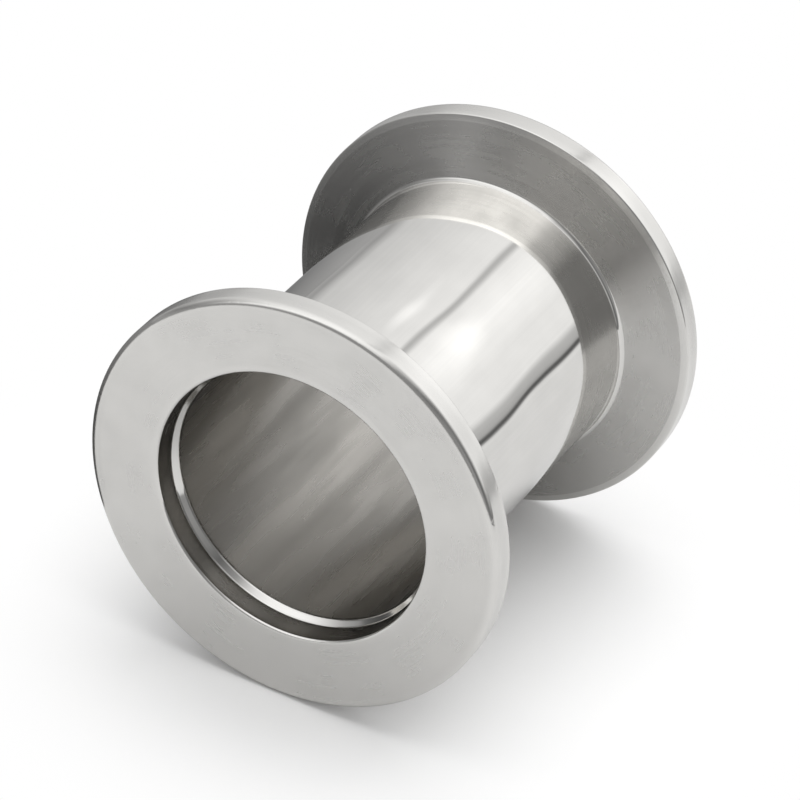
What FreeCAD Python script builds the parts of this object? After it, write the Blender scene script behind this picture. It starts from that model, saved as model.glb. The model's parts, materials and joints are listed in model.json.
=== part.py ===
import FreeCAD, Part
import math
import os

from FreeCAD import Vector

# A short vacuum spool: a straight tube with a clamp flange at each end, all one piece of
# stainless steel. It stands on one flange. The axis is +Z and the origin is the centre of
# the lower sealing face.
# Millimetres throughout.

# Tube
bore_diameter = 25.0
tube_wall = 1.5
length = 40.0

# Clamp flange, measured outwards from the bore: the ledge, then the flat sealing face. The
# seat's wall is straight for its depth, and the ledge slopes on from its end into the bore.
ledge_width = 0.6
ledge_slope_deg = 45.0
sealing_face_width = 6.9
rim_thickness = 2.4
back_slope_deg = 15.0
seat_depth = 2.2

# 45 degree breaks on the turned edges, and the fillet where a flange meets the tube
seat_mouth_break = 0.15
face_edge_break = 0.6
back_edge_break = 0.2
root_fillet = 0.5

# Radii and heights that follow from the sizes above
bore_radius = bore_diameter / 2
tube_radius = bore_radius + tube_wall
seat_radius = bore_radius + ledge_width
flange_radius = seat_radius + sealing_face_width
back_height = (flange_radius - tube_radius) * math.tan(math.radians(back_slope_deg))
ledge_height = ledge_width * math.tan(math.radians(ledge_slope_deg))


def end_corners(face_z, inward):
    """Corners of one end's section as (radius, height, kind, size), from the bore to the tube.

    face_z is the height of the sealing face, and inward is the direction along the axis
    from that face into the spool. A break's size is its length along each side, and a
    fillet's size is its radius.
    """
    wall_end_z = face_z + inward * seat_depth
    rim_z = face_z + inward * rim_thickness
    root_z = rim_z + inward * back_height
    return [
        (bore_radius, wall_end_z + inward * ledge_height, "sharp", 0),
        (seat_radius, wall_end_z, "sharp", 0),
        (seat_radius, face_z, "break", seat_mouth_break),
        (flange_radius, face_z, "break", face_edge_break),
        (flange_radius, rim_z, "break", back_edge_break),
        (tube_radius, root_z, "fillet", root_fillet),
    ]


def finished_corner(before, corner, after):
    """Points that the outline takes round a corner: one, or two for a break, or three for an arc."""
    tip, to_before, to_after = [Vector(point[0], 0, point[1]) for point in (corner, before, after)]
    to_before -= tip
    to_after -= tip
    kind, size = corner[2:]
    if kind == "sharp":
        return [tip]
    half_angle = to_before.getAngle(to_after) / 2
    reach = size / math.tan(half_angle) if kind == "fillet" else size
    # A break or fillet takes at most 0.45 of the straights beside it, so neighbours never meet.
    reach = min(reach, 0.45 * to_before.Length, 0.45 * to_after.Length)
    to_before.normalize()
    to_after.normalize()
    start = tip + to_before * reach
    end = tip + to_after * reach
    if kind == "break":
        return [start, end]
    radius = reach * math.tan(half_angle)
    to_centre = (to_before + to_after).normalize()
    return [start, tip + to_centre * (radius / math.sin(half_angle) - radius), end]


def section_face(corners):
    """Closed face through the corners, each finished in its own way."""
    count = len(corners)
    turns = [finished_corner(corners[i - 1], corners[i], corners[(i + 1) % count]) for i in range(count)]
    edges = []
    for i, turn in enumerate(turns):
        if len(turn) == 2:
            edges.append(Part.LineSegment(*turn).toShape())
        elif len(turn) == 3:
            edges.append(Part.Arc(*turn).toShape())
        edges.append(Part.LineSegment(turn[-1], turns[(i + 1) % count][0]).toShape())
    return Part.Face(Part.Wire(edges))


def spool_pipe():
    """The whole spool: its section turned once about the axis."""
    lower_end = end_corners(0, 1)
    upper_end = end_corners(length, -1)
    section = section_face(lower_end + upper_end[::-1])
    return section.revolve(Vector(0, 0, 0), Vector(0, 0, 1), 360)


os.makedirs("parts", exist_ok=True)
spool_pipe().exportStep("parts/spool_pipe.step")
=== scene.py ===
import json
import math

import bpy
from mathutils import Matrix, Vector


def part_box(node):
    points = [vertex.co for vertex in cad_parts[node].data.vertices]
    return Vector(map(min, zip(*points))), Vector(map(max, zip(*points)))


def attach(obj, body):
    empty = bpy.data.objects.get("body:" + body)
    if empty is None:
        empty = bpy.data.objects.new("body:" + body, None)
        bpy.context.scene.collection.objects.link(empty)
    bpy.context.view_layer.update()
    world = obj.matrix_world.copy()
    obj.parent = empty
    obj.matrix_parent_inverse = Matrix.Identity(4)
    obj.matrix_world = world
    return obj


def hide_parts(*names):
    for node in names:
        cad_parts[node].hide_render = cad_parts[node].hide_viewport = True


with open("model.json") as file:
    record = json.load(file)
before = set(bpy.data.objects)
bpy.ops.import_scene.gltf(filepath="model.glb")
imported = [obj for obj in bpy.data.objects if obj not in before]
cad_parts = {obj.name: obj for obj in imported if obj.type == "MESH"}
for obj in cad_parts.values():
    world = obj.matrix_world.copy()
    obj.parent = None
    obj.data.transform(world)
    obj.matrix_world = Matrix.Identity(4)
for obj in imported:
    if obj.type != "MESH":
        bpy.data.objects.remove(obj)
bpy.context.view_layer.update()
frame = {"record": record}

# The spool: a drawn stainless tube with a turned clamp flange at each end, joined and dressed
# into one piece. Its section is a row of corners, each rounded by the tool or the polishing
# wheel, and it is the same at both ends, so a node tree lays it out and turns it about Z.
MM = 0.001
mounts = {mount["name"]: mount for mount in frame["record"]["mounts"]}
node_low, node_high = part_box("spool_pipe")
spool_length = node_high.z - node_low.z
flange_radius = node_high.x
bore_radius = mounts["through_bore"]["dims"]["r_mm"] * MM
seat_radius = mounts["upper_seat"]["dims"]["r_mm"] * MM
seat_depth = mounts["upper_seat"]["dims"]["length_mm"] * MM
tube_radius = 14.0 * MM
rim_thickness = 2.4 * MM
back_slope = math.radians(15.0)
back_height = (flange_radius - tube_radius) * math.tan(back_slope)
ledge_height = seat_radius - bore_radius
CORNERS_PER_END = 6


def math_step(tree, operation, *values):
    """Adds one Math node on sockets or numbers and returns its result."""
    node = tree.nodes.new("ShaderNodeMath")
    node.operation = operation
    for socket, value in zip(node.inputs, values):
        if isinstance(value, bpy.types.NodeSocket):
            tree.links.new(value, socket)
        else:
            socket.default_value = value
    return node.outputs[0]


def pick_by_index(tree, index, choices):
    """Adds an Index Switch that gives each corner its own value."""
    switch = tree.nodes.new("GeometryNodeIndexSwitch")
    switch.data_type = "FLOAT"
    for _ in range(len(choices) - len(switch.index_switch_items)):
        switch.index_switch_items.new()
    tree.links.new(index, switch.inputs["Index"])
    for number, choice in enumerate(choices):
        socket = switch.inputs[number + 1]
        if isinstance(choice, bpy.types.NodeSocket):
            tree.links.new(choice, socket)
        else:
            socket.default_value = choice
    return switch.outputs[0]


def add_step(tree, kind, source=None, settings=None, pick=0, **inputs):
    """Adds a node behind a socket; inputs are sockets or plain values. Returns one output."""
    node = tree.nodes.new(kind)
    for name, value in (settings or {}).items():
        setattr(node, name, value)
    if source is not None:
        tree.links.new(source, node.inputs[0])
    for name, value in inputs.items():
        socket = node.inputs[name.replace("_", " ")]
        if isinstance(value, bpy.types.NodeSocket):
            tree.links.new(value, socket)
        else:
            socket.default_value = value
    return node.outputs[pick]


STEEL = (0.64, 0.632, 0.614)
# Painted shade: a darker copy of the steel for the backs of the flanges.
SHADED_BACK_STEEL = (0.52, 0.512, 0.496)
# Painted shade: a darker copy of the steel for the bore, inside the tube.
SHADED_BORE_STEEL = (0.39, 0.377, 0.354)
# Painted shade: the darkest copy of the steel, for the seat walls in the recess.
SHADED_SEAT_STEEL = (0.35, 0.338, 0.317)

# The marks on the steel: how far apart the tool left its rings, and the sizes of the rest.
FINE_FEED = 0.32 * MM
BROAD_FEED = 1.3 * MM
MARK_TURN = 1.2  # how far round a ring keeps its look, in radians
MARKS_ALONG = 0.6  # how much a step along the axis counts as a step across the rings
CLOUD_SIZE = 4 * MM
RUBBED_REACH = (0.3 * MM, 0.9 * MM)
RUBBED_PATCH = 2 * MM
NICK_SIZE = 0.7 * MM
NICK_DEPTH = 0.004 * MM
NICK_LEVELS = (0.66, 0.74)
STREAK_LENGTH = 16 * MM
QUARTER_TURN = 0.25


def vector_step(tree, operation, *values):
    """Adds one Vector Math node on sockets or vectors and returns its result."""
    node = tree.nodes.new("ShaderNodeVectorMath")
    node.operation = operation
    for socket, value in zip(node.inputs, values):
        if isinstance(value, bpy.types.NodeSocket):
            tree.links.new(value, socket)
        else:
            socket.default_value = value
    return node.outputs["Value" if operation in ("LENGTH", "DISTANCE") else "Vector"]


def join_xyz(tree, x, y, z):
    """Adds a Combine XYZ node on three sockets or numbers."""
    return add_step(tree, "ShaderNodeCombineXYZ", X=x, Y=y, Z=z)


def steel_finish(name, roughness, anisotropy):
    """Starts one finish of the steel. Returns it with its tree, shader, axes and radius."""
    finish = bpy.data.materials.new(name)
    finish.use_nodes = True
    tree = finish.node_tree
    shader = tree.nodes["Principled BSDF"]
    shader.inputs["Metallic"].default_value = 1.0
    shader.inputs["Roughness"].default_value = roughness
    shader.inputs["Anisotropic"].default_value = anisotropy
    place = add_step(tree, "ShaderNodeTexCoord", pick="Object")
    axes = add_step(tree, "ShaderNodeSeparateXYZ", Vector=place, pick=slice(None))
    radius = vector_step(tree, "LENGTH", join_xyz(tree, axes[0], axes[1], 0.0))
    return finish, tree, shader, axes, radius


def cut_round_the_axis(tree, shader, axes):
    """Stretches highlights across the marks that a lathe leaves, which run round Z."""
    along_cut = join_xyz(tree, math_step(tree, "MULTIPLY", axes[1], -1.0), axes[0], 0.0)
    tree.links.new(along_cut, shader.inputs["Tangent"])
    shader.inputs["Anisotropic Rotation"].default_value = QUARTER_TURN


def grain(tree, x, y, z, size, detail=2.0):
    """Adds noise from 0 to 1 whose grain has the given size in metres on each axis."""
    scaled = [math_step(tree, "DIVIDE", axis, length) for axis, length in zip((x, y, z), size)]
    return add_step(tree, "ShaderNodeTexNoise", Vector=join_xyz(tree, *scaled),
                    Scale=1.0, Detail=detail)


def lathe_marks(tree, axes, radius, feed, detail):
    """Adds noise in rings about Z, one feed of the tool apart, that slowly change round it."""
    round_spool = [math_step(tree, "DIVIDE", axis, radius) for axis in axes[:2]]
    across = math_step(tree, "MULTIPLY_ADD", axes[2], MARKS_ALONG, radius)
    return grain(tree, *round_spool, across, (MARK_TURN, MARK_TURN, feed), detail)


def between_levels(tree, level, low, high, first=0.3, last=0.7):
    """Spreads noise between two levels."""
    return add_step(tree, "ShaderNodeMapRange", Value=level, From_Min=first, From_Max=last,
                    To_Min=low, To_Max=high)


def worn_edges(tree, axes, radius):
    """Adds a level that rises to 1 on the edges that hands, clamps and seals rub."""
    face = spool_length / 2
    from_middle = math_step(tree, "ABSOLUTE", math_step(tree, "SUBTRACT", axes[2], face))
    here = join_xyz(tree, radius, from_middle, 0.0)
    edges = [(flange_radius, face), (flange_radius, face - rim_thickness), (seat_radius, face)]
    gaps = [vector_step(tree, "DISTANCE", here, (*edge, 0.0)) for edge in edges]
    nearest = math_step(tree, "MINIMUM", math_step(tree, "MINIMUM", gaps[0], gaps[1]), gaps[2])
    rubbed = between_levels(tree, nearest, 1.0, 0.0, *RUBBED_REACH)
    patches = grain(tree, *axes, 3 * (RUBBED_PATCH,))
    return math_step(tree, "MULTIPLY", rubbed, between_levels(tree, patches, 0.3, 1.0))


def tinted(tree, shader, colour, level):
    """Gives the steel its colour, darker or lighter by a level near 1."""
    colour = add_step(tree, "ShaderNodeVectorMath", join_xyz(tree, *colour),
                      {"operation": "SCALE"}, Scale=level)
    tree.links.new(colour, shader.inputs["Base Color"])


def relief(tree, shader, layers):
    """Adds bumps, each a height from 0 to 1 with its depth in metres."""
    normal = None
    for height, depth in layers:
        bump = tree.nodes.new("ShaderNodeBump")
        bump.inputs["Distance"].default_value = depth
        tree.links.new(height, bump.inputs["Height"])
        if normal is not None:
            tree.links.new(normal, bump.inputs["Normal"])
        normal = bump.outputs[0]
    tree.links.new(normal, shader.inputs["Normal"])


def turned_finish(name, colour, roughness, anisotropy, mark_depth):
    """Steel cut on a lathe: rings round the axis, faint clouds from wiping, and rubbed edges."""
    finish, tree, shader, axes, radius = steel_finish(name, roughness, anisotropy)
    cut_round_the_axis(tree, shader, axes)
    fine_marks = lathe_marks(tree, axes, radius, FINE_FEED, 1.0)
    broad_marks = lathe_marks(tree, axes, radius, BROAD_FEED, 0.0)
    clouds = grain(tree, *axes, 3 * (CLOUD_SIZE,), 3.0)
    edges = worn_edges(tree, axes, radius)
    wiped = math_step(tree, "MULTIPLY", between_levels(tree, clouds, 0.85, 1.18),
                      between_levels(tree, fine_marks, 0.9, 1.1))
    wiped = math_step(tree, "MULTIPLY", wiped, between_levels(tree, edges, 1.0, 0.7, 0.0, 1.0))
    tree.links.new(math_step(tree, "MULTIPLY", wiped, roughness), shader.inputs["Roughness"])
    shade = math_step(tree, "MULTIPLY", between_levels(tree, clouds, 1.015, 0.98),
                      between_levels(tree, fine_marks, 0.985, 1.01))
    shade = math_step(tree, "MULTIPLY", shade, between_levels(tree, edges, 1.0, 1.05, 0.0, 1.0))
    tinted(tree, shader, colour, shade)
    nicks = grain(tree, *axes, 3 * (NICK_SIZE,), 0.0)
    nicks = math_step(tree, "MULTIPLY", between_levels(tree, nicks, 1.0, 0.0, *NICK_LEVELS), edges)
    relief(tree, shader, [(broad_marks, 1.5 * mark_depth), (fine_marks, mark_depth),
                          (nicks, NICK_DEPTH)])
    return finish


turned_steel = turned_finish("turned_steel", STEEL,
                             roughness=0.24, anisotropy=0.8, mark_depth=0.00025 * MM)
# The flange backs take the darker steel: painted shade.
turned_back_shaded = turned_finish("turned_back_shaded", SHADED_BACK_STEEL,
                            roughness=0.26, anisotropy=0.8, mark_depth=0.0005 * MM)
smooth_steel = turned_finish("smooth_steel", STEEL,
                             roughness=0.10, anisotropy=0.5, mark_depth=0.0002 * MM)
# The seat walls take the darkest steel: painted shade in the recess.
seat_steel_shaded = turned_finish("seat_steel_shaded", SHADED_SEAT_STEEL,
                           roughness=0.24, anisotropy=0.9, mark_depth=0.0005 * MM)


def drawn_finish(name, colour, roughness, anisotropy, streak_width, streak_depth,
                 wave_size, wave_depth, mottle):
    """Steel of a drawn tube: faint streaks along it, shallow waves left by polishing, clouds."""
    finish, tree, shader, axes, radius = steel_finish(name, roughness, anisotropy)
    streaks = grain(tree, *axes, (streak_width, streak_width, STREAK_LENGTH), 3.0)
    clouds = grain(tree, *axes, [0.5 * length for length in wave_size], 2.0)
    waves = grain(tree, *axes, wave_size, 0.0)
    worn = math_step(tree, "MULTIPLY",
                     between_levels(tree, clouds, 1.0 - 4 * mottle, 1.0 + 5 * mottle),
                     between_levels(tree, streaks, 1.0 - 3 * mottle, 1.0 + 4 * mottle))
    tree.links.new(math_step(tree, "MULTIPLY", worn, roughness), shader.inputs["Roughness"])
    shade = math_step(tree, "MULTIPLY", between_levels(tree, clouds, 1.0 + mottle, 1.0 - mottle),
                      between_levels(tree, streaks, 1.0 - 0.5 * mottle, 1.0 + 0.5 * mottle))
    tinted(tree, shader, colour, shade)
    relief(tree, shader, [(waves, wave_depth), (streaks, streak_depth)])
    return finish, tree, shader, axes


polished_steel, *_ = drawn_finish(
    "polished_steel", STEEL, roughness=0.045, anisotropy=0.0,
    streak_width=0.35 * MM, streak_depth=0.0004 * MM,
    wave_size=(6.5 * MM, 6.5 * MM, 9 * MM), wave_depth=0.14 * MM, mottle=0.03)
# The bore takes the darker steel: painted shade inside the tube.
bored_steel_shaded, tree, shader, axes = drawn_finish(
    "bored_steel_shaded", SHADED_BORE_STEEL, roughness=0.27, anisotropy=0.9,
    streak_width=0.9 * MM, streak_depth=0.0003 * MM,
    wave_size=(5 * MM, 5 * MM, 24 * MM), wave_depth=0.018 * MM, mottle=0.03)
cut_round_the_axis(tree, shader, axes)

SECTION_SIZES = {
    "Length": spool_length,
    "Bore Radius": bore_radius,
    "Seat Radius": seat_radius,
    "Flange Radius": flange_radius,
    "Tube Radius": tube_radius,
    "Seat Depth": seat_depth,
    "Ledge Height": ledge_height,
    "Rim Thickness": rim_thickness,
    "Back Height": back_height,
    "Ledge Round": 0.55 * MM,
    "Seat Corner Round": 0.5 * MM,
    "Seat Mouth Round": 0.3 * MM,
    "Face Edge Round": 0.62 * MM,
    "Back Edge Round": 0.16 * MM,
    "Root Fillet": 0.5 * MM,
    "Step Along": 0.6 * MM,
}
SECTION_COUNTS = {"Steps Around": 192, "Steps In A Round": 10}

# Where one finish ends and the next begins. The two shares are of the root fillet's radius.
BORE_FINISH_REACH = 0.03 * MM
LEDGE_FINISH_REACH = 0.05 * MM
SEAT_WALL_REACH = 0.02 * MM
TUBE_FINISH_REACH = 0.1 * MM
BACK_FINISH_START = 0.15 * MM
POLISH_UP_THE_ROOT = 0.25
SMOOTH_UP_THE_ROOT = 0.78


def spool_tree():
    """Node tree that lays out the section's corners, rounds them and turns them about Z."""
    tree = bpy.data.node_groups.new("turned_spool", "GeometryNodeTree")
    for name in SECTION_SIZES:
        tree.interface.new_socket(name, in_out="INPUT", socket_type="NodeSocketFloat")
    for name in SECTION_COUNTS:
        tree.interface.new_socket(name, in_out="INPUT", socket_type="NodeSocketInt")
    tree.interface.new_socket("Spool", in_out="OUTPUT", socket_type="NodeSocketGeometry")
    size = tree.nodes.new("NodeGroupInput").outputs
    corners = 2 * CORNERS_PER_END
    index = tree.nodes.new("GeometryNodeInputIndex").outputs[0]
    on_upper_end = math_step(tree, "GREATER_THAN", index, CORNERS_PER_END - 0.5)
    step_from_last = math_step(tree, "SUBTRACT", corners - 1, index)
    step_from_bore = math_step(tree, "MINIMUM", index, step_from_last)
    corner_radius = pick_by_index(tree, step_from_bore, [
        size["Bore Radius"], size["Seat Radius"], size["Seat Radius"],
        size["Flange Radius"], size["Flange Radius"], size["Tube Radius"],
    ])
    root_height = math_step(tree, "ADD", size["Rim Thickness"], size["Back Height"])
    bore_end = math_step(tree, "ADD", size["Seat Depth"], size["Ledge Height"])
    height_in_end = pick_by_index(tree, step_from_bore, [
        bore_end, size["Seat Depth"], 0.0, 0.0, size["Rim Thickness"], root_height,
    ])
    corner_round = pick_by_index(tree, step_from_bore, [
        size["Ledge Round"], size["Seat Corner Round"], size["Seat Mouth Round"],
        size["Face Edge Round"], size["Back Edge Round"], size["Root Fillet"],
    ])
    twice_height = math_step(tree, "MULTIPLY", height_in_end, 2.0)
    mirror_shift = math_step(tree, "SUBTRACT", size["Length"], twice_height)
    corner_height = math_step(tree, "MULTIPLY_ADD", on_upper_end, mirror_shift, height_in_end)

    place = tree.nodes.new("ShaderNodeCombineXYZ")
    out_from_axle = math_step(tree, "SUBTRACT", corner_radius, size["Bore Radius"])
    tree.links.new(out_from_axle, place.inputs["X"])
    tree.links.new(math_step(tree, "MULTIPLY", corner_height, -1.0), place.inputs["Y"])
    outline = add_step(tree, "GeometryNodeMeshLine", Count=corners)
    outline = add_step(tree, "GeometryNodeStoreNamedAttribute", outline,
                       Name="corner_round", Value=corner_round)
    outline = add_step(tree, "GeometryNodeSetPosition", outline, Position=place.outputs[0])
    outline = add_step(tree, "GeometryNodeMeshToCurve", outline)
    outline = add_step(tree, "GeometryNodeSetSplineCyclic", outline, Cyclic=True)
    stored_round = tree.nodes.new("GeometryNodeInputNamedAttribute")
    stored_round.inputs["Name"].default_value = "corner_round"
    outline = add_step(tree, "GeometryNodeFilletCurve", outline, {"mode": "POLY"},
                       Count=size["Steps In A Round"], Radius=stored_round.outputs[0],
                       Limit_Radius=True)

    position = tree.nodes.new("GeometryNodeInputPosition").outputs[0]
    point_count = tree.nodes.new("GeometryNodeSplineLength").outputs["Point Count"]
    next_index = math_step(tree, "MODULO", math_step(tree, "ADD", index, 1.0), point_count)
    next_point = tree.nodes.new("GeometryNodeFieldAtIndex")
    next_point.data_type = "FLOAT_VECTOR"
    tree.links.new(position, next_point.inputs["Value"])
    tree.links.new(next_index, next_point.inputs["Index"])
    gap = vector_step(tree, "DISTANCE", position, next_point.outputs[0])
    cuts = math_step(tree, "DIVIDE", gap, size["Step Along"])
    outline = add_step(tree, "GeometryNodeSubdivideCurve", outline, Cuts=cuts)

    axle = add_step(tree, "GeometryNodeCurvePrimitiveCircle", None, {"mode": "RADIUS"},
                    Resolution=size["Steps Around"], Radius=size["Bore Radius"])
    spool = add_step(tree, "GeometryNodeCurveToMesh", axle, Profile_Curve=outline)
    spool = add_step(tree, "GeometryNodeFlipFaces", spool)
    spool = add_step(tree, "GeometryNodeSetShadeSmooth", spool)
    spool = add_step(tree, "GeometryNodeRealizeInstances", spool)

    radius = vector_step(tree, "LENGTH", vector_step(tree, "MULTIPLY", position, (1.0, 1.0, 0.0)))
    bore_finish_end = math_step(tree, "ADD", size["Bore Radius"], BORE_FINISH_REACH)
    in_bore = math_step(tree, "LESS_THAN", radius, bore_finish_end)
    polish_end = math_step(tree, "ADD", size["Tube Radius"],
                           math_step(tree, "MULTIPLY", size["Root Fillet"], POLISH_UP_THE_ROOT))
    under_tube = math_step(tree, "SUBTRACT", size["Tube Radius"], TUBE_FINISH_REACH)
    on_tube = math_step(tree, "SUBTRACT", math_step(tree, "LESS_THAN", radius, polish_end),
                        math_step(tree, "LESS_THAN", radius, under_tube))
    ledge_finish_end = math_step(tree, "ADD", size["Seat Radius"], LEDGE_FINISH_REACH)
    on_ledge = math_step(tree, "LESS_THAN", radius, ledge_finish_end)
    seat_wall = math_step(tree, "COMPARE", radius, size["Seat Radius"], SEAT_WALL_REACH)
    low_end = math_step(tree, "ADD", size["Rim Thickness"], BACK_FINISH_START)
    height = add_step(tree, "ShaderNodeSeparateXYZ", position, pick="Z")
    half_length = math_step(tree, "MULTIPLY", size["Length"], 0.5)
    from_middle = math_step(tree, "SUBTRACT", half_length, low_end)
    on_back = math_step(tree, "COMPARE", height, half_length, from_middle)
    root_end = math_step(tree, "ADD", size["Tube Radius"],
                         math_step(tree, "MULTIPLY", size["Root Fillet"], SMOOTH_UP_THE_ROOT))
    on_root = math_step(tree, "MULTIPLY", on_back, math_step(tree, "LESS_THAN", radius, root_end))
    # Turned steel all over, then each other finish over the ones before it.
    spool = add_step(tree, "GeometryNodeSetMaterial", spool, Material=turned_steel)
    for chosen, finish in (
        (on_back, turned_back_shaded), (on_ledge, smooth_steel), (on_root, smooth_steel),
        (on_tube, polished_steel), (in_bore, bored_steel_shaded), (seat_wall, seat_steel_shaded),
    ):
        spool = add_step(tree, "GeometryNodeSetMaterial", spool,
                         Selection=chosen, Material=finish)
    tree.links.new(spool, tree.nodes.new("NodeGroupOutput").inputs[0])
    return tree


def turned_spool(tree):
    """Runs the tree on an empty mesh and keeps the result as a plain mesh object."""
    blank = bpy.data.objects.new("blank", bpy.data.meshes.new("blank"))
    bpy.context.scene.collection.objects.link(blank)
    modifier = blank.modifiers.new("turned", "NODES")
    modifier.node_group = tree
    identifiers = {item.name: item.identifier for item in tree.interface.items_tree}
    for name, value in {**SECTION_SIZES, **SECTION_COUNTS}.items():
        modifier[identifiers[name]] = value
    flat_faces = blank.modifiers.new("flat faces stay flat", "WEIGHTED_NORMAL")
    flat_faces.mode = "FACE_AREA"
    flat_faces.weight = 100
    evaluated = blank.evaluated_get(bpy.context.evaluated_depsgraph_get())
    mesh = bpy.data.meshes.new_from_object(evaluated)
    bpy.data.objects.remove(blank)
    spool = bpy.data.objects.new("stainless_spool", mesh)
    bpy.context.scene.collection.objects.link(spool)
    return spool


spool = turned_spool(spool_tree())
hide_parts("spool_pipe")
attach(spool, "root")

# The floor: a sheet of white paper that both rims lie on. It shows the spool's soft shadow
# and turns to plain white further out. From below it isn't seen.
FLOOR_REACH = 0.19
FLOOR_FADE = (0.016, 0.045)
FLOOR_FADE_MIRRORED = (0.030, 0.090)
PAPER_SEEN = 1.0
PAPER_TO_OTHER_RAYS = 0.89
FLOOR_STEPS = 96
WHITE = (1.0, 1.0, 1.0, 1.0)

floor_mesh = bpy.data.meshes.new("floor")
floor_ring = []
for step in range(FLOOR_STEPS):
    turn = 2.0 * math.pi * step / FLOOR_STEPS
    aside, along = FLOOR_REACH * math.cos(turn), FLOOR_REACH * math.sin(turn)
    floor_ring.append((aside, flange_radius, spool_length / 2 + along))
floor_mesh.from_pydata(floor_ring, [], [tuple(range(FLOOR_STEPS))])
floor = bpy.data.objects.new("floor", floor_mesh)
bpy.context.scene.collection.objects.link(floor)

paper = bpy.data.materials.new("paper")
paper.use_nodes = True
tree = paper.node_tree
tree.nodes.clear()
place = add_step(tree, "ShaderNodeTexCoord", pick="Object")
away = vector_step(tree, "DISTANCE", place, (0.0, flange_radius, spool_length / 2))
light_path = tree.nodes.new("ShaderNodeLightPath").outputs
fade_ends = [
    add_step(tree, "ShaderNodeMapRange", Value=light_path["Is Glossy Ray"],
             To_Min=plain, To_Max=mirrored)
    for plain, mirrored in zip(FLOOR_FADE, FLOOR_FADE_MIRRORED)
]
fade = add_step(tree, "ShaderNodeMapRange", None, {"interpolation_type": "SMOOTHSTEP"}, Value=away,
                From_Min=fade_ends[0], From_Max=fade_ends[1])
seen = math_step(tree, "MAXIMUM", light_path["Is Camera Ray"], light_path["Is Glossy Ray"])
seen = math_step(tree, "MAXIMUM", seen, light_path["Is Transmission Ray"])
paper_white = add_step(tree, "ShaderNodeMapRange", Value=light_path["Is Camera Ray"],
                       To_Min=PAPER_TO_OTHER_RAYS, To_Max=PAPER_SEEN)
lit_paper = add_step(tree, "ShaderNodeBsdfDiffuse", Color=paper_white)
white_paper = add_step(tree, "ShaderNodeEmission", Color=WHITE, Strength=1.0)
front = tree.nodes.new("ShaderNodeMixShader")
tree.links.new(math_step(tree, "MULTIPLY", fade, seen), front.inputs[0])
tree.links.new(lit_paper, front.inputs[1])
tree.links.new(white_paper, front.inputs[2])
either_side = tree.nodes.new("ShaderNodeMixShader")
tree.links.new(tree.nodes.new("ShaderNodeNewGeometry").outputs["Backfacing"], either_side.inputs[0])
tree.links.new(front.outputs[0], either_side.inputs[1])
tree.links.new(add_step(tree, "ShaderNodeBsdfTransparent"), either_side.inputs[2])
tree.links.new(either_side.outputs[0], tree.nodes.new("ShaderNodeOutputMaterial").inputs["Surface"])
floor_mesh.materials.append(paper)

# The card that stands on the paper beside the spool, bent twice along its length. It paints a
# reflection into the steel: it glows grey, and the steel mirrors it as shade beside the spool.
# The camera doesn't see it, and it casts no shadow.
CARD_LINE = [(0.022, -0.08), (0.022, -0.022), (0.030, 0.0), (0.030, 0.05)]  # x and z
CARD_FOOT = 0.020
CARD_TOP = -0.013
CARD_LEVELS = (0.42, 0.05)
CARD_DARKENS = (-0.03, 0.018)  # the z where it starts and the z where it ends
CARD_TOP_LIGHT = 0.22
CARD_TOP_LIGHTENS = (0.005, -0.011)  # y
CARD_END_LIGHT = 0.05
CARD_END_LIGHTENS = (0.018, 0.030)  # z

card_mesh = bpy.data.meshes.new("painted_reflection_card")
card_foot = [(x, CARD_FOOT, z) for x, z in CARD_LINE]
card_top = [(x, CARD_TOP, z) for x, z in CARD_LINE]
card_mesh.from_pydata(card_foot + card_top, [], [(0, 1, 5, 4), (1, 2, 6, 5), (2, 3, 7, 6)])
card = bpy.data.objects.new("painted_reflection_card", card_mesh)
bpy.context.scene.collection.objects.link(card)
card.visible_camera = False
card.visible_diffuse = False
card.visible_shadow = False
grey = bpy.data.materials.new("painted_reflection_card")
grey.use_nodes = True
tree = grey.node_tree
tree.nodes.clear()
place = add_step(tree, "ShaderNodeTexCoord", pick="Object")
along = add_step(tree, "ShaderNodeSeparateXYZ", Vector=place, pick="Z")
across = add_step(tree, "ShaderNodeSeparateXYZ", Vector=place, pick="Y")
# Its glow is the painted reflection: darker as Z rises, lighter along its top and at its upper end.
level = between_levels(tree, along, *CARD_LEVELS, *CARD_DARKENS)
top_light = between_levels(tree, across, 0.0, CARD_TOP_LIGHT, *CARD_TOP_LIGHTENS)
end_light = between_levels(tree, along, 0.0, CARD_END_LIGHT, *CARD_END_LIGHTENS)
level = math_step(tree, "ADD", math_step(tree, "ADD", level, top_light), end_light)
painted_glow = add_step(tree, "ShaderNodeEmission", Color=WHITE, Strength=level)
tree.links.new(painted_glow, tree.nodes.new("ShaderNodeOutputMaterial").inputs["Surface"])
card_mesh.materials.append(grey)

# Two soft glowing patches beyond the lower flange. They paint highlights into the tube: only
# mirrors see them, the camera doesn't see them, and they light no paper.
HIGHLIGHT_PATCHES = ((-5.0, 6.0 * MM), (32.0, 20.0 * MM))  # turn round the axis in degrees, half width
HIGHLIGHT_DISTANCE = 54 * MM
HIGHLIGHT_HEIGHT = -22.0 * MM
HIGHLIGHT_HALF_HEIGHT = 4.5 * MM
HIGHLIGHT_LEAN = 0.9
HIGHLIGHT_GLOW = 0.27

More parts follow.
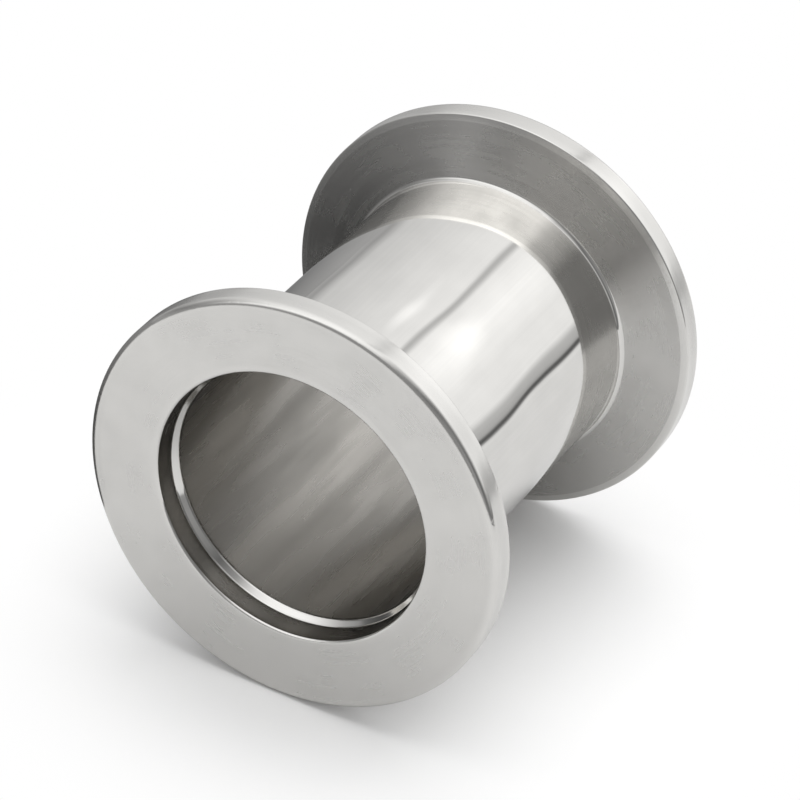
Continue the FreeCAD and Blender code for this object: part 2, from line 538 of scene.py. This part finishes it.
highlights_mesh = bpy.data.meshes.new("painted_highlights")
highlight_corners, highlight_faces = [], []
for turn_degrees, half_width in HIGHLIGHT_PATCHES:
    turn = math.radians(turn_degrees)
    middle = Vector((-HIGHLIGHT_DISTANCE * math.sin(turn), -HIGHLIGHT_DISTANCE * math.cos(turn), HIGHLIGHT_HEIGHT))
    sideways = Vector((-math.cos(turn), math.sin(turn), 0.0)) * half_width
    rising = Vector((-math.sin(turn), -math.cos(turn), HIGHLIGHT_LEAN)).normalized() * HIGHLIGHT_HALF_HEIGHT
    first = len(highlight_corners)
    for a, b in ((-1, -1), (1, -1), (1, 1), (-1, 1)):
        highlight_corners.append(middle + a * sideways + b * rising)
    highlight_faces.append((first, first + 1, first + 2, first + 3))
highlights_mesh.from_pydata(highlight_corners, [], highlight_faces)
highlights_uv = highlights_mesh.uv_layers.new(name="across")
for face in highlights_mesh.polygons:
    for loop, corner in zip(face.loop_indices, ((-1, -1), (1, -1), (1, 1), (-1, 1))):
        highlights_uv.data[loop].uv = corner
highlights = bpy.data.objects.new("painted_highlights", highlights_mesh)
bpy.context.scene.collection.objects.link(highlights)
for ray in ("camera", "diffuse", "shadow"):
    setattr(highlights, "visible_" + ray, False)
painted_glow = bpy.data.materials.new("painted_highlight_glow")
painted_glow.use_nodes = True
tree = painted_glow.node_tree
tree.nodes.clear()
across = add_step(tree, "ShaderNodeUVMap", settings={"uv_map": "across"})
from_middle = vector_step(tree, "LENGTH", across)
# The painted highlight: brightest in the middle of each patch, fading to nothing at its edges.
level = add_step(tree, "ShaderNodeMapRange", None, {"interpolation_type": "SMOOTHSTEP"},
                 Value=from_middle, From_Min=1.0, From_Max=0.1, To_Min=0.0, To_Max=HIGHLIGHT_GLOW)
highlight_emission = add_step(tree, "ShaderNodeEmission", Color=WHITE, Strength=level)
both = tree.nodes.new("ShaderNodeAddShader")
tree.links.new(highlight_emission, both.inputs[0])
tree.links.new(add_step(tree, "ShaderNodeBsdfTransparent"), both.inputs[1])
tree.links.new(both.outputs[0], tree.nodes.new("ShaderNodeOutputMaterial").inputs["Surface"])
highlights_mesh.materials.append(painted_glow)

# The light tent: white panels all round, lit from outside. Each list gives the level of light
# against the angle round the spool's axis, from straight up off the paper (0) to the paper
# itself (90 and -90): behind the spool, beside it, and in front of it.
PANELS_BEHIND = [
    (-110, 0.42), (-95, 0.52), (-83, 0.38), (-73, 0.70), (4, 1.05), (7, 0.60),
    (9, 0.62), (12, 1.08), (33, 1.25), (60, 1.04), (82, 1.02),
    (87, 0.62), (94, 0.50), (96, 0.10), (98, 0.10), (100, 0.90),
]
PANELS_BESIDE = [
    (-110, 0.70), (-90, 0.80), (-80, 0.42), (-62, 0.90), (-40, 2.00), (-8, 2.50),
    (12, 2.20), (20, 1.30), (36, 0.85), (44, 0.42), (85, 0.28), (100, 0.45),
]
PANELS_IN_FRONT = [
    (-110, 0.22), (-80, 0.44), (-60, 1.40), (-33, 1.65), (-10, 1.50),
    (5, 1.20), (22, 0.44), (40, 0.18), (55, 0.32), (80, 0.44),
]
TOP_LEVEL = 2.5
TENT_LEVEL = 1.17
OPENING_LEVEL = 0.28
PAPER_FILL = 0.50
BESIDE_MIRRORED_ONCE = 0.5
IN_FRONT_MIRRORED_ONCE = 0.8
DEPTH_MIRRORED_ONCE = 2.0
DEPTH_MIRRORED_TWICE = 3.0

# Where one list passes into the next, by the Z of the direction.
BEHIND_TO_BESIDE = (-0.6, 0.3)
BESIDE_TO_FRONT = (0.4, 0.66)
FRONT_TO_OPENING = (0.72, 0.90)

world = bpy.data.worlds.new("light_tent")
bpy.context.scene.world = world
world.use_nodes = True
tree = world.node_tree
tree.nodes.clear()
direction = tree.nodes.new("ShaderNodeSeparateXYZ")
tree.links.new(add_step(tree, "ShaderNodeTexCoord", pick="Generated"), direction.inputs[0])
aside = math_step(tree, "MULTIPLY", direction.outputs["X"], -1.0)
upward = math_step(tree, "MULTIPLY", direction.outputs["Y"], -1.0)
turn = math_step(tree, "ARCTAN2", aside, upward)
turn = math_step(tree, "MULTIPLY_ADD", turn, 0.5 / math.pi, 0.5)


def panel_level(stops):
    """Adds the ramp of one list of panels and returns its level."""
    ramp = tree.nodes.new("ShaderNodeValToRGB")
    tree.links.new(turn, ramp.inputs[0])
    elements = ramp.color_ramp.elements
    while len(elements) < len(stops):
        elements.new(0.5)
    for element, (degrees, level) in zip(elements, stops):
        element.position = degrees / 360.0 + 0.5
        element.color = (level / TOP_LEVEL, level / TOP_LEVEL, level / TOP_LEVEL, 1.0)
    return math_step(tree, "MULTIPLY", ramp.outputs[0], TOP_LEVEL)


def between(low, high, first, second):
    """Goes softly from the first level to the second as the direction's Z rises."""
    step = add_step(tree, "ShaderNodeMapRange", None, {"interpolation_type": "SMOOTHSTEP"},
                    Value=direction.outputs["Z"], From_Min=low, From_Max=high)
    return add_step(tree, "ShaderNodeMix", Factor=step, A=first, B=second)


def softer_at_first(level, share):
    """Turns a level down for rays mirrored once, so that flat faces don't burn out.

    Rays mirrored twice or more keep it. Real light doesn't do this: it is a choice for this
    picture. At the tent, Ray Depth is 2 after one mirror and 3 after two.
    """
    kept = add_step(tree, "ShaderNodeMapRange", Value=light_path["Ray Depth"],
                    From_Min=DEPTH_MIRRORED_ONCE, From_Max=DEPTH_MIRRORED_TWICE,
                    To_Min=share, To_Max=1.0)
    return math_step(tree, "MULTIPLY", level, kept)


light_path = tree.nodes.new("ShaderNodeLightPath").outputs
beside = softer_at_first(panel_level(PANELS_BESIDE), BESIDE_MIRRORED_ONCE)
in_front = softer_at_first(panel_level(PANELS_IN_FRONT), IN_FRONT_MIRRORED_ONCE)
tent = between(*BEHIND_TO_BESIDE, panel_level(PANELS_BEHIND), beside)
tent = between(*BESIDE_TO_FRONT, tent, in_front)
opening = tree.nodes.new("ShaderNodeValue")
opening.outputs[0].default_value = OPENING_LEVEL
tent = between(*FRONT_TO_OPENING, tent, opening.outputs[0])
tent = math_step(tree, "MULTIPLY", tent, TENT_LEVEL)
tent = add_step(tree, "ShaderNodeMapRange", Value=light_path["Is Diffuse Ray"],
                To_Min=tent, To_Max=PAPER_FILL)
tent_light = add_step(tree, "ShaderNodeBackground", Color=WHITE, Strength=tent)
white = add_step(tree, "ShaderNodeBackground", Color=WHITE, Strength=1.0)
backdrop = tree.nodes.new("ShaderNodeMixShader")
tree.links.new(light_path["Is Camera Ray"], backdrop.inputs[0])
tree.links.new(tent_light, backdrop.inputs[1])
tree.links.new(white, backdrop.inputs[2])
tree.links.new(backdrop.outputs[0], tree.nodes.new("ShaderNodeOutputWorld").inputs["Surface"])

world.cycles.sampling_method = "NONE"

# The lamp over the tent: a large soft square that lights the paper through the cloth and gives
# the spool its shadow. Mirrors see the tent's panels in its place.
LAMP_SIZE = 0.68
LAMP_POWER = 3.15
LAMP_PLACE = (-0.02, -0.60, -0.09)

lamp_data = bpy.data.lights.new("lamp_over_tent", "AREA")
lamp_data.shape = "SQUARE"
lamp_data.size = LAMP_SIZE
lamp_data.energy = LAMP_POWER
lamp = bpy.data.objects.new("lamp_over_tent", lamp_data)
bpy.context.scene.collection.objects.link(lamp)
lamp.location = LAMP_PLACE
lamp.rotation_euler = (-Vector(lamp.location)).to_track_quat("-Z", "Y").to_euler()
lamp.visible_camera = False
lamp.visible_glossy = False

# The camera, at the height and angle of the picture. It is rolled, because the spool lies on
# its rims there and stands on its end here.
CAMERA_LENS = 191.539
CAMERA_DISTANCE = 0.37862
CAMERA_TURNS = (-31.3, 48.28, -134.51)  # azimuth, elevation and roll in degrees

camera_data = bpy.data.cameras.new("camera")
camera = bpy.data.objects.new("camera", camera_data)
bpy.context.scene.collection.objects.link(camera)
bpy.context.scene.camera = camera
camera_data.lens = CAMERA_LENS
camera_data.sensor_width = 36.0
azimuth, elevation, roll = (math.radians(turn) for turn in CAMERA_TURNS)
flat = math.cos(elevation)
back = Vector((math.sin(azimuth) * flat, -math.cos(azimuth) * flat, math.sin(elevation)))
camera.location = Vector((0, 0, spool_length / 2)) + back * CAMERA_DISTANCE
camera.rotation_mode = "QUATERNION"
aim = (-back).to_track_quat("-Z", "Y")
camera.rotation_quaternion = aim @ Matrix.Rotation(roll, 4, "Z").to_quaternion()

bpy.context.scene.view_settings.view_transform = "Standard"
